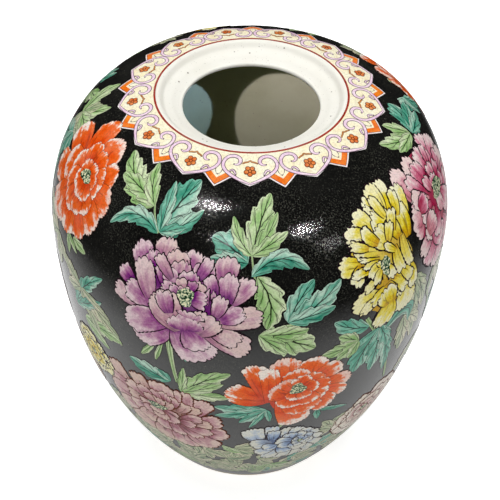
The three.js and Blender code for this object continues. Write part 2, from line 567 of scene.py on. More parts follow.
def petal(sheet, root, tip, width, paleness, level, rng, style, fine):
    """One petal from its root to its tip: narrow at the neck, and scalloped round the end and sides."""
    span = tip - root
    length = np.linalg.norm(span)
    ahead = span / length
    side = np.array([-ahead[1], ahead[0]])
    line, frill_width, nick_depth, neck = style
    across = both_borders(spaced(width, 0.55 if fine else 0.95, 8), min(0.3, line / (width / 2)))
    along = bordered(spaced(length, 1.0 if fine else 1.9, 6), min(0.25, line / length))
    lobes = max(2, round(width / frill_width))
    nick = nick_depth * rng.uniform(0.9, 1.5)
    dome = min(0.6, PETAL_DOME * width / length)
    warped = across + 0.14 * np.sin(across * 4 + rng.uniform(0, 6.28))
    broad = 0.5 + 0.5 * np.sin(across * rng.uniform(2.6, 4.2) + rng.uniform(0, 6.28))
    frill = 0.68 * scallops((warped + 1) / 2 * lobes, rng) + 0.32 * broad
    reach = 1 - dome * np.abs(across) ** 2.3 - nick / length * (1 - frill)
    swell = np.sin(np.minimum(along / 0.74, 1) * math.pi / 2) ** 0.9
    free = np.clip((along - 0.35) / 0.3, 0, 1) * 0.2 * nick / (width / 2)
    left_edge = 1 - free * (1 - scallops(along * length / SIDE_SCALLOP, rng))
    right_edge = 1 - free * (1 - scallops(along * length / SIDE_SCALLOP, rng))
    half = width / 2 * (neck + (1 - neck) * swell)
    bow = rng.uniform(-0.06, 0.06) * length * 4 * along * (1 - along)
    forward = along[:, None] * length * reach
    halves = np.where(across < 0, (half * left_edge)[:, None], (half * right_edge)[:, None])
    sideways = bow[:, None] + halves * across
    grid = root + forward[:, :, None] * ahead + sideways[:, :, None] * side
    fade = paleness + (1 - paleness) * along
    sheet.slab(grid, level, across, fade, rng.random())


# Inked line's width, width and depth of one scallop, and the root's share of the petal's width
PETAL_DOME = 0.27  # how far a petal's end bulges, as a share of its width
PETAL_STYLES = {
    "purple": (0.82, 3.7, 2.5, 0.45),
    "orange": (0.24, 2.5, 1.8, 0.5),
    "yellow": (0.95, 4.2, 2.7, 0.5),
    "pink": (0.9, 3.9, 2.5, 0.45),
    "mauve": (1.0, 3.7, 2.5, 0.45),
    "blue": (0.95, 3.8, 2.2, 0.45),
    "blush": (0.9, 3.8, 2.2, 0.45),
}


def polar(angle, reach):
    turn = math.radians(angle)
    return (reach * math.cos(turn), reach * math.sin(turn))


def fanned(outer, rings):
    """Petals for a bloom seen from the front: (root, tip, width, paleness), from the back to the front."""
    petals = []
    ring_reach = rings[0][2]
    for aim, spread, reach in outer:
        width = 2.3 * reach * math.tan(math.radians(spread))
        petals.append((*polar(aim, 0.45 * ring_reach), *polar(aim, reach), width, 0.1))
    for (aim, _, reach), (after, _, far) in zip(outer, outer[1:] + outer[:1]):
        between = aim + ((after - aim + 180) % 360 - 180) / 2
        mean = 0.8 * min(reach, far)
        petals.append((*polar(between, 0.3 * mean), *polar(between, mean), 0.5 * mean, 0.1))
    for count, root, reach in rings:
        for order in range(count):
            aim = 360 / count * order + 17 * count
            width = 2.5 * reach * math.sin(math.pi / count)
            petals.append((*polar(aim, root), *polar(aim, reach), width, 0.05))
    return petals


PETAL_STEP = 0.42  # coats from one petal to the next over it


def peony(sheet, hearts, at, colour, bloom, turn, size, level, seed, fine):
    """A peony: each petal over the one before, and then the speckled heart."""
    rng = np.random.default_rng(seed)
    style = PETAL_STYLES[colour]
    centre = chart_point(at)
    swing = math.radians(turn)
    facing = size * np.array([[math.cos(swing), -math.sin(swing)], [math.sin(swing), math.cos(swing)]])
    for x, y, wide, tall in bloom.get("hollows", []):
        hollow = centre + facing @ np.array([x, y])
        blob(sheet, hollow, wide * size, tall * size, level - 0.3, rng, 0.1)
    for order, (root_x, root_y, tip_x, tip_y, width, paleness) in enumerate(bloom["petals"]):
        root = centre + facing @ np.array([root_x, root_y])
        tip = centre + facing @ np.array([tip_x, tip_y])
        petal(sheet, root, tip, width * size, paleness, level + PETAL_STEP * order, rng, style, fine)
    middle = centre + facing @ np.array(bloom["heart"][:2])
    top = level + PETAL_STEP * len(bloom["petals"]) + 1
    blob(hearts, middle, bloom["heart"][2] * size, bloom["heart"][3] * size, top, rng)


def blob(sheet, centre, wide, tall, level, rng, fade=1.0):
    """A round dab with a wavering edge."""
    turns = np.linspace(0, 2 * math.pi, 25)
    wobble = 1 + 0.13 * np.sin(3 * turns + rng.uniform(0, 6)) + 0.08 * np.sin(5 * turns + rng.uniform(0, 6))
    wobble[-1] = wobble[0]
    rings = np.array([0.0, 0.35, 0.7, 1.0])
    outline = np.stack([np.cos(turns) * wide * wobble, np.sin(turns) * tall * wobble], -1)
    sheet.disc(centre, outline[:-1], rings, level, rng.random(), fade=fade)


def smooth_path(points, step=0.6):
    """A smooth line through given points, as even steps."""
    points = np.asarray(points, float)
    padded = np.concatenate([[2 * points[0] - points[1]], points, [2 * points[-1] - points[-2]]])
    line = []
    for a, b, c, d in zip(padded, padded[1:], padded[2:], padded[3:]):
        count = max(2, int(np.linalg.norm(c - b) / step))
        for t in np.linspace(0, 1, count, endpoint=False):
            curve = (2 * a - 5 * b + 4 * c - d) * t**2 + (3 * b - a - 3 * c + d) * t**3
            line.append(0.5 * (2 * b + (c - a) * t + curve))
    line.append(points[-1])
    return np.array(line)


def ribbon(sheet, points, widths, level, rng, line):
    """A band of enamel along a smooth path, whose width follows the given widths."""
    path = smooth_path(points)
    ahead = np.gradient(path, axis=0)
    ahead /= np.linalg.norm(ahead, axis=1)[:, None]
    left = np.stack([-ahead[:, 1], ahead[:, 0]], -1)
    along = np.linspace(0, 1, len(path))
    half = np.interp(along, np.linspace(0, 1, len(widths)), widths) / 2
    border = min(0.6, line / max(half.max(), 0.01))
    across = both_borders(2 if half.max() < 2 else 3, border)
    grid = path[:, None] + left[:, None] * (across[:, None] * half[:, None, None])
    sheet.slab(grid, level, across, along, rng.random())


LEAF_LINE = 0.4  # width of a leaf's inked line


def lobed(along, lobes, phase):
    """A leaf edge's swelling along the rib: broad lobes that lean forward."""
    part = (along * lobes + phase) % 1.0
    rising = np.minimum(part / 0.8, 1) ** 0.75
    falling = np.clip((1 - part) / 0.2, 0, 1) ** 0.8
    return 0.7 + 0.32 * np.minimum(rising, falling) + 0.02 * np.sin(along * lobes * 23)


def blade(sheet, base, tip, width, bend, lobes, level, rng, fine):
    """A leaf blade along a bowed rib, lobed on both sides and pointed at the tip."""
    start = chart_point(base)
    chord = chart_point(tip) - start
    length = np.linalg.norm(chord)
    side = np.array([-chord[1], chord[0]]) / length
    along = bordered(spaced(length, 0.9 if fine else 1.5, 10), 0.012)
    rib = start + chord * along[:, None] + side * (4 * bend * along * (1 - along))[:, None]
    ahead = np.gradient(rib, along, axis=0)
    ahead /= np.linalg.norm(ahead, axis=1)[:, None]
    left = np.stack([-ahead[:, 1], ahead[:, 0]], -1)
    outline = np.clip(np.sin(math.pi * along**0.72), 0, 1) ** 0.7
    outline = outline / outline.max() * width / 2
    right_half = np.maximum(outline * lobed(along, lobes, 0.0), 0.12)
    left_half = np.maximum(outline * lobed(along, lobes, 0.5), 0.12)
    across = both_borders(6 if fine else 4, min(0.3, LEAF_LINE / (width / 2)))
    half = np.where(across < 0, right_half[:, None], left_half[:, None])
    lean = 0.42 * half * np.abs(across) ** 1.4 * (1 - along**3)[:, None]
    grid = rib[:, None] + left[:, None] * (across * half)[:, :, None] + ahead[:, None] * lean[:, :, None]
    sheet.slab(grid, level, across, along * lobes, rng.random())


# ---------------------------------------------------------------- geometry node trees

class Recipe(Nodes):
    """A geometry tree with named inputs after its geometry."""

    def __init__(self, name, sockets):
        super().__init__(bpy.data.node_groups.new(name, "GeometryNodeTree"))
        interface = self.tree.interface
        interface.new_socket("Geometry", in_out="INPUT", socket_type="NodeSocketGeometry")
        for label, kind, default in sockets:
            socket = interface.new_socket(label, in_out="INPUT", socket_type="NodeSocket" + kind)
            if default is not None:
                socket.default_value = default
        interface.new_socket("Geometry", in_out="OUTPUT", socket_type="NodeSocketGeometry")
        self.given = {given.name: Wire(self, given) for given in self.node("NodeGroupInput").outputs}
        self.result = self.node("NodeGroupOutput").inputs[0]

    def position(self):
        return self.wire("GeometryNodeInputPosition")

    def moved(self, shape, position):
        return self.wire("GeometryNodeSetPosition", {"Geometry": shape, "Position": position})

    def attribute(self, name, kind):
        return self.wire("GeometryNodeInputNamedAttribute", {"Name": name}, data_type=kind)

    def turned(self, radius, angle, height):
        """A point at a radius, an angle from the front and a height."""
        x = radius * angle.calc("SINE")
        y = radius * (angle.calc("COSINE") * -1.0)
        return self.vector(x, y, height)

    def coat(self, shape, first, selected, second):
        """The end of a tree: real geometry in the first material, and the second where it is selected."""
        real = self.wire("GeometryNodeRealizeInstances", {0: shape})
        all_over = self.wire("GeometryNodeSetMaterial", {"Geometry": real, "Material": self.given[first]})
        settings = {"Geometry": all_over, "Selection": selected, "Material": self.given[second]}
        self.feed(self.result, self.wire("GeometryNodeSetMaterial", settings))
        return self.tree


def lay_tree():
    """Lays a flat sheet on the jar: across becomes azimuth, down becomes length along the wall."""
    recipe = Recipe("lay_on_jar", [
        ("Wall line", "Object", None),
        ("Belly radius", "Float", 0.1),
        ("Enamel", "Material", None),
        ("Ink", "Material", None),
    ])
    given = recipe.given
    across, up, out = recipe.position().split()
    line = recipe.wire("GeometryNodeObjectInfo", {"Object": given["Wall line"]}, "Geometry")
    inputs = {"Curves": line, "Length": up * -1.0}
    wall = recipe.node("GeometryNodeSampleCurve", inputs, mode="LENGTH", use_all_curves=True).outputs
    spot = Wire(recipe, wall["Position"]).split()
    slope = Wire(recipe, wall["Tangent"]).split()
    radius = spot[0] - out * slope[2]
    height = out * slope[0] + spot[2]
    place = recipe.turned(radius, across / given["Belly radius"], height)
    laid = recipe.moved(given["Geometry"], place)
    return recipe.coat(laid, "Enamel", recipe.attribute("ink", "BOOLEAN"), "Ink")


def collar_tree():
    """Repeats one lappet round the mouth and lays the ring on the shoulder."""
    recipe = Recipe("collar_border", [
        ("Lappets", "Int", 13),
        ("Belly radius", "Float", 0.1),
        ("Belly height", "Float", 0.1),
        ("Shoulder rise", "Float", 0.1),
        ("Roundness", "Float", 4.0),
        ("Enamel", "Material", None),
        ("Ink", "Material", None),
    ])
    given = recipe.given
    spots = recipe.wire("GeometryNodePoints", {"Count": given["Lappets"]})
    turn = recipe.math("DIVIDE", 2 * math.pi, given["Lappets"])
    swing = recipe.vector(z=recipe.wire("GeometryNodeInputIndex") * turn)
    inputs = {"Points": spots, "Instance": given["Geometry"], "Rotation": swing}
    ring = recipe.wire("GeometryNodeInstanceOnPoints", inputs)
    real = recipe.wire("GeometryNodeRealizeInstances", {0: ring})
    x, y, out = recipe.position().split()
    share = (x**2.0 + y**2.0).calc("SQRT") / given["Belly radius"]
    fall = recipe.math("SUBTRACT", 1.0, share ** given["Roundness"])
    height = given["Belly height"] + given["Shoulder rise"] * fall.calc("SQRT") + out
    laid = recipe.moved(real, recipe.vector(x, y, height))
    return recipe.coat(laid, "Enamel", recipe.attribute("ink", "BOOLEAN"), "Ink")


def turning_tree():
    """Turns a section about the jar's axis, as the wheel does."""
    recipe = Recipe("turned_on_the_wheel", [
        ("Section", "Object", None),
        ("Around", "Int", 64),
        ("Along", "Int", 2),
        ("Glaze", "Material", None),
        ("Liner", "Material", None),
        ("Liner from", "Int", NO_LINER),
    ])
    given = recipe.given
    counts = {"Vertices X": given["Around"] + 1.0, "Vertices Y": given["Along"] + 1.0}
    grid = recipe.wire("GeometryNodeMeshGrid", {"Size X": 1.0, "Size Y": 1.0, **counts})
    across, along, _ = recipe.position().split()
    row = ((along + 0.5) * given["Along"]).calc("ROUND")
    section = recipe.wire("GeometryNodeObjectInfo", {"Object": given["Section"]}, "Geometry")
    inputs = {"Geometry": section}
    pick = recipe.node("GeometryNodeSampleIndex", inputs, data_type="FLOAT_VECTOR", domain="POINT")
    recipe.feed(pick.inputs["Value"], recipe.position())
    recipe.feed(pick.inputs["Index"], row)
    radius, _, height = Wire(recipe, pick.outputs[0]).split()
    inputs = {"Geometry": grid, "Name": "row"}
    mark = recipe.node("GeometryNodeStoreNamedAttribute", inputs, data_type="FLOAT", domain="POINT")
    recipe.feed(mark.inputs["Value"], row)
    place = recipe.turned(radius, (across + 0.5) * (2 * math.pi), height)
    moved = recipe.moved(Wire(recipe, mark.outputs[0]), place)
    welded = recipe.wire("GeometryNodeMergeByDistance", {"Geometry": moved, "Distance": 0.000002})
    rows = {0: recipe.attribute("row", "FLOAT"), 1: given["Liner from"]}
    inside = recipe.wire("FunctionNodeCompare", rows, operation="GREATER_EQUAL")
    return recipe.coat(welded, "Glaze", inside, "Liner")


NO_LINER = 100000  # a row past every section's last, for a piece with one glaze
LAY = lay_tree()
COLLAR = collar_tree()
TURNING = turning_tree()


def run_tree(made, tree, values):
    """Runs a tree on an object and leaves the result as its plain mesh."""
    modifier = made.modifiers.new(tree.name, "NODES")
    modifier.node_group = tree
    for item in tree.interface.items_tree:
        if item.in_out == "INPUT" and item.name in values:
            modifier[item.identifier] = values[item.name]
    bpy.context.view_layer.update()
    depsgraph = bpy.context.evaluated_depsgraph_get()
    mesh = bpy.data.meshes.new_from_object(made.evaluated_get(depsgraph), depsgraph=depsgraph)
    made.modifiers.clear()
    made.data = mesh
    mesh.name = made.name


def placed(name, data):
    """A new object in the scene, at the origin."""
    made = bpy.data.objects.new(name, data)
    bpy.context.scene.collection.objects.link(made)
    return made


def section_points(name, points):
    """A section's points, in metres, for a tree to read. They are taken away afterwards."""
    data = bpy.data.meshes.new(name)
    data.from_pydata([(r * MM, 0, z * MM) for r, z in points], [], [])
    return placed(name, data)


def wall_curve():
    """The wall's line from the mouth down, in metres, for a tree to read. It is taken away at the end."""
    data = bpy.data.curves.new("wall_line", "CURVE")
    data.dimensions = "3D"
    spline = data.splines.new("POLY")
    spline.points.add(len(chart_z) - 1)
    for point, r, z in zip(spline.points, chart_r, chart_z):
        point.co = (r * MM, 0, z * MM, 1)
    return placed("wall_line", data)


def finish_piece(made, nodes=(), sharp=35):
    made.data.shade_smooth()
    made.data.set_sharp_from_angle(angle=math.radians(sharp))
    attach(made, "root")
    if nodes:
        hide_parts(*nodes)


wall_line = wall_curve()


def lay_on_jar(sheet, name, enamel, inked):
    made = sheet.flat_object(name)
    run_tree(made, LAY, {
        "Wall line": wall_line,
        "Belly radius": BELLY_RADIUS * MM,
        "Enamel": enamel,
        "Ink": inked,
    })
    finish_piece(made)


def lay_collar(sheet, name, enamel, inked):
    made = sheet.flat_object(name)
    run_tree(made, COLLAR, {
        "Lappets": LAPPETS,
        "Belly radius": BELLY_RADIUS * MM,
        "Belly height": BELLY_HEIGHT * MM,
        "Shoulder rise": SHOULDER_RISE * MM,
        "Roundness": float(SHOULDER_ROUNDNESS),
        "Enamel": enamel,
        "Ink": inked,
    })
    finish_piece(made)


def turn_piece(name, section, nodes, glaze, liner=None, liner_from=NO_LINER, around=256):
    """A turned piece from its section of (radius, height) points, given anticlockwise."""
    points = section_points(name + "_section", section)
    made = placed(name, bpy.data.meshes.new(name))
    run_tree(made, TURNING, {
        "Section": points,
        "Around": around,
        "Along": len(section) - 1,
        "Glaze": glaze,
        "Liner": liner or glaze,
        "Liner from": liner_from,
    })
    bpy.data.objects.remove(points)
    finish_piece(made, nodes, 50)


# ---------------------------------------------------------------- the turned pieces

def quarter(r, z, width, height, start, count):
    """Points on a quarter of an ellipse about (r, z). The start is in quarter turns from straight out."""
    turns = (start + np.linspace(0, 1, count)) * math.pi / 2
    return [(r + width * math.cos(t), z + height * math.sin(t)) for t in turns]


def glazed_body():
    """The thrown wall: black outside from the foot to the mouth, and the liner glaze inside."""
    zs = wall_heights(JAR_HEIGHT, FOOT_HEIGHT + 0.1, 70)[::-1]
    outside = list(zip(wall_radius(zs), zs))
    inner_top = SEAT_UNDER - 0.6
    inside_z = wall_heights(inner_top - 2, FOOT_HEIGHT + 0.1, 46)
    inside_r = np.minimum(wall_radius(inside_z) - WALL, wall_radius(inside_z + 5) - 1.5)
    under_seat = [(MOUTH_RADIUS, inner_top), (MOUTH_RADIUS + 4, inner_top - 0.4)]
    inside = [(r, z) for r, z in zip(inside_r, inside_z) if r > MOUTH_RADIUS + 5]
    section = outside + under_seat + inside
    section.append(section[0])
    nodes = ("upper_section", "lower_section")
    turn_piece("glazed_body", section, nodes, GROUND, LINER, len(outside), 320)


def seat_ring():
    """The white crest, step and sloping ledge that a lid would sit in, down to the throat."""
    step_end = JAR_HEIGHT - STEP_DEPTH
    ledge_end = JAR_HEIGHT - THROAT_DEPTH
    throat_end = ledge_end - THROAT_LENGTH
    edge = MOUTH_RADIUS - 0.02
    section = [(edge, SEAT_UNDER), (edge, JAR_HEIGHT + 0.02)]
    fall = [
        (STEP_RADIUS + 2.8, JAR_HEIGHT), (STEP_RADIUS + 1.3, JAR_HEIGHT - 0.7),
        (STEP_RADIUS + 0.2, JAR_HEIGHT - 2.1), (STEP_RADIUS - 0.9, step_end + 0.2),
        (STEP_RADIUS - 2.6, step_end - 0.5), (STEP_RADIUS - 6.0, step_end - 1.7),
        (THROAT_RADIUS + 4, ledge_end + 1.2), (THROAT_RADIUS + LIP, ledge_end),
    ]
    section += [tuple(point) for point in smooth_path(fall, 0.7)[:-1]]
    section += quarter(THROAT_RADIUS + LIP, ledge_end - LIP, LIP, LIP, 1, 8)
    section += quarter(THROAT_RADIUS + LIP, throat_end + LIP, LIP, LIP, 2, 6)
    section += [(STEP_RADIUS - STEP_DEPTH, throat_end - 0.3), (MOUTH_RADIUS + 3, SEAT_UNDER - 1.2)]
    section.append(section[0])
    turn_piece("seat_ring", section, ("lid_seat_ring",), PORCELAIN)


def foot():
    """The turned foot, bare where it rests, with softened edges."""
    chamfer = FOOT_CHAMFER
    section = [(FOOT_INNER_RADIUS + chamfer, 0.0), (BASE_RADIUS - chamfer, 0.0)]
    section += quarter(BASE_RADIUS - chamfer, chamfer, chamfer, chamfer, 3, 6)
    for z in np.linspace(chamfer + 1, FOOT_HEIGHT, 5):
        section.append((float(wall_radius(z)), float(z)))
    section += [(FOOT_INNER_RADIUS - 0.4, FOOT_HEIGHT), (FOOT_INNER_RADIUS, FOOT_HEIGHT - 1.5)]
    section += quarter(FOOT_INNER_RADIUS + chamfer, chamfer, chamfer, chamfer, 2, 6)
    section.append(section[0])
    turn_piece("turned_foot", section, ("foot_ring",), BISCUIT)


def inside_floor():
    """The floor of the jar, domed a little, with the spiral trough that a thumb leaves."""
    low = FOOT_HEIGHT + 0.2
    section = [(0.0, low), (FLOOR_RADIUS, low), (FLOOR_RADIUS, FLOOR_TOP - 1.6)]
    for share in np.linspace(0.97, 0, 24):
        ripple = 0.35 * math.sin(share * 34) * share
        section.append((FLOOR_RADIUS * share, FLOOR_TOP - 2 * share**2 + ripple))
    turn_piece("inside_floor", section, ("base_floor",), LINER)


def slip_seam():
    """The smear of slip pressed over the joint on the inside."""
    zs = np.linspace(JOINT_HEIGHT - SEAM_HALF, JOINT_HEIGHT + SEAM_HALF, 15)
    wall = [(float(wall_radius(z)) - WALL + 0.4, float(z)) for z in zs]
    bulge = []
    for r, z in wall:
        t = (z - JOINT_HEIGHT) / SEAM_HALF
        bulge.append((r - 0.6 - 2.1 * (1 - t * t) ** 0.8 - 0.25 * math.sin(9 * t), z))
    section = wall + bulge[::-1]
    section.append(section[0])
    turn_piece("slip_seam", section, ("luting_seam",), LINER)


glazed_body()
seat_ring()
foot()
inside_floor()
slip_seam()


# ---------------------------------------------------------------- the collar of lappets

LAPPETS = 13
HALF_LAPPET = 180 / LAPPETS
TIP_DOWN = 23.0
VALLEY_DOWN = 18.0
CHEVRON_DOWN = 25.0
VALLEY_AT = 8.0
RED_LINE = (58.9, 60.15)  # radii of the line round the mouth
COLLAR_TOP = 0.1


def collar_edge(azimuth):
    """How far down the collar reaches: pointed lappets with pointed chevrons between them."""
    away = HALF_LAPPET - abs(abs(azimuth) - HALF_LAPPET)
    return np.interp(away, [0, VALLEY_AT, HALF_LAPPET], [TIP_DOWN, VALLEY_DOWN, CHEVRON_DOWN])


def collar_field(sheet, start, margin, level):
    """One lappet's share of the ring, from a line near the mouth down to the pointed edge."""
    azimuths = np.linspace(HALF_LAPPET, -HALF_LAPPET, 41)
    rows = np.linspace(0, 1, 10)
    grid = [
        [plan_point((azimuth, start + (collar_edge(azimuth) - margin - start) * row)) for azimuth in azimuths]
        for row in rows
    ]
    sheet.slab(np.array(grid), level, azimuths / HALF_LAPPET, rows, 0.5, border=False)


def plan_path(places):
    return [plan_point(place) for place in places]


def mirrored(places):
    return [(-azimuth, down) for azimuth, down in places]


def collar():
    """The border: white edge, cream field, orange chevrons, rose scrolls, a bracket and a floret."""
    rng = np.random.default_rng(5)
    edge = Sheet()
    collar_field(edge, COLLAR_TOP, 0, 0)
    lay_collar(edge, "collar_edge", EDGING, COLLAR_INK)

    field = Sheet()
    collar_field(field, COLLAR_TOP, 1.3, 1)
    kite = [(HALF_LAPPET, down) for down in (8.6, 10.8, 13.2, 15.4, 17.4)]
    lay_collar(field, "collar_field", CREAM, COLLAR_INK)

    kites = Sheet()
    ribbon(kites, plan_path(kite), [0.6, 3.2, 4.4, 3.4, 0.6], 5, rng, 0.42)
    lay_collar(kites, "collar_kites", CREAM, COLLAR_INK)

    chevron = Sheet()
    azimuths = HALF_LAPPET + both_borders(23, 0.07) * (HALF_LAPPET - VALLEY_AT - 0.5)
    depths = np.array([5.6, 5.25, 4.0, 2.4, 1.35, 1.0])
    band = [[plan_point((azimuth, collar_edge(azimuth) - depth)) for azimuth in azimuths] for depth in depths]
    along = np.linspace(0, 1, len(depths))
    chevron.slab(np.array(band), 3, np.linspace(-1, 1, len(azimuths)), along, 0.4)
    lay_collar(chevron, "collar_chevrons", AMBER, BROWN_INK)

    scroll = [
        (0.0, 21.7), (3.2, 19.9), (6.3, 17.9), (9.2, 15.6), (11.6, 12.9), (12.8, 9.5), (12.3, 5.8),
        (10.2, 3.2), (7.4, 2.9), (5.2, 4.5), (4.8, 7.2), (6.2, 9.0), (8.0, 8.7),
    ]
    cusp = [(9.4, 14.3), (7.9, 13.0), (6.7, 14.4), (6.0, 16.6)]
    scrolls = Sheet()
    for side, level in ((scroll, 6), (mirrored(scroll), 7)):
        ribbon(scrolls, plan_path(side), [1.0, 1.8, 2.3, 2.3, 2.3, 2.4, 2.7, 2.5, 0.8], level, rng, 0.42)
    for side, level in ((cusp, 8), (mirrored(cusp), 8)):
        ribbon(scrolls, plan_path(side), [0.8, 1.6, 1.6, 0.7], level, rng, 0.4)
    lay_collar(scrolls, "collar_scrolls", ROSE, COLLAR_INK)

    bracket = Sheet()
    arch = [(-3.7, 8.0), (-2.2, 7.0), (-0.9, 6.6), (0, 5.7), (0.9, 6.6), (2.2, 7.0), (3.7, 8.0)]
    ribbon(bracket, plan_path(arch), [0.9, 1.1, 1.0, 1.1, 0.9], 9, rng, 0.2)
    lay_collar(bracket, "collar_brackets", BRACKET, BROWN_INK)

    florets = Sheet()
    heart = plan_point((0, 13.2))
    for order in range(5):
        turn = math.radians(90 + 72 * order)
        petal_middle = heart - np.array([math.cos(turn), math.sin(turn)]) * 2.15
        dab(florets, petal_middle, 1.55, 10 + 0.6 * order, rng)
    dab(florets, heart, 1.1, 14, rng)
    lay_collar(florets, "collar_florets", FLORET, BROWN_INK)

    red = Sheet()
    azimuths = np.linspace(-HALF_LAPPET, HALF_LAPPET, 17)
    turns = np.radians(azimuths)
    ways = np.stack([np.sin(turns), -np.cos(turns)], -1)
    line = np.array([ways * radius for radius in np.linspace(*RED_LINE, 3)])
    red.slab(line, 3, azimuths, np.linspace(0, 1, 3), 0.5, border=False)
    lay_collar(red, "red_mouth_line", RED, RED)


def dab(sheet, centre, radius, level, rng):
    """A small round petal with a drawn outline."""
    turns = np.linspace(0, 2 * math.pi, 17)[:-1]
    outline = np.stack([np.cos(turns), np.sin(turns)], -1) * radius
    rings = np.array([0.0, 0.45, 1 - 0.42 / radius, 1.0])
    sheet.disc(centre, outline, rings, level, rng.random(), border=True)


collar()


# ---------------------------------------------------------------- peonies

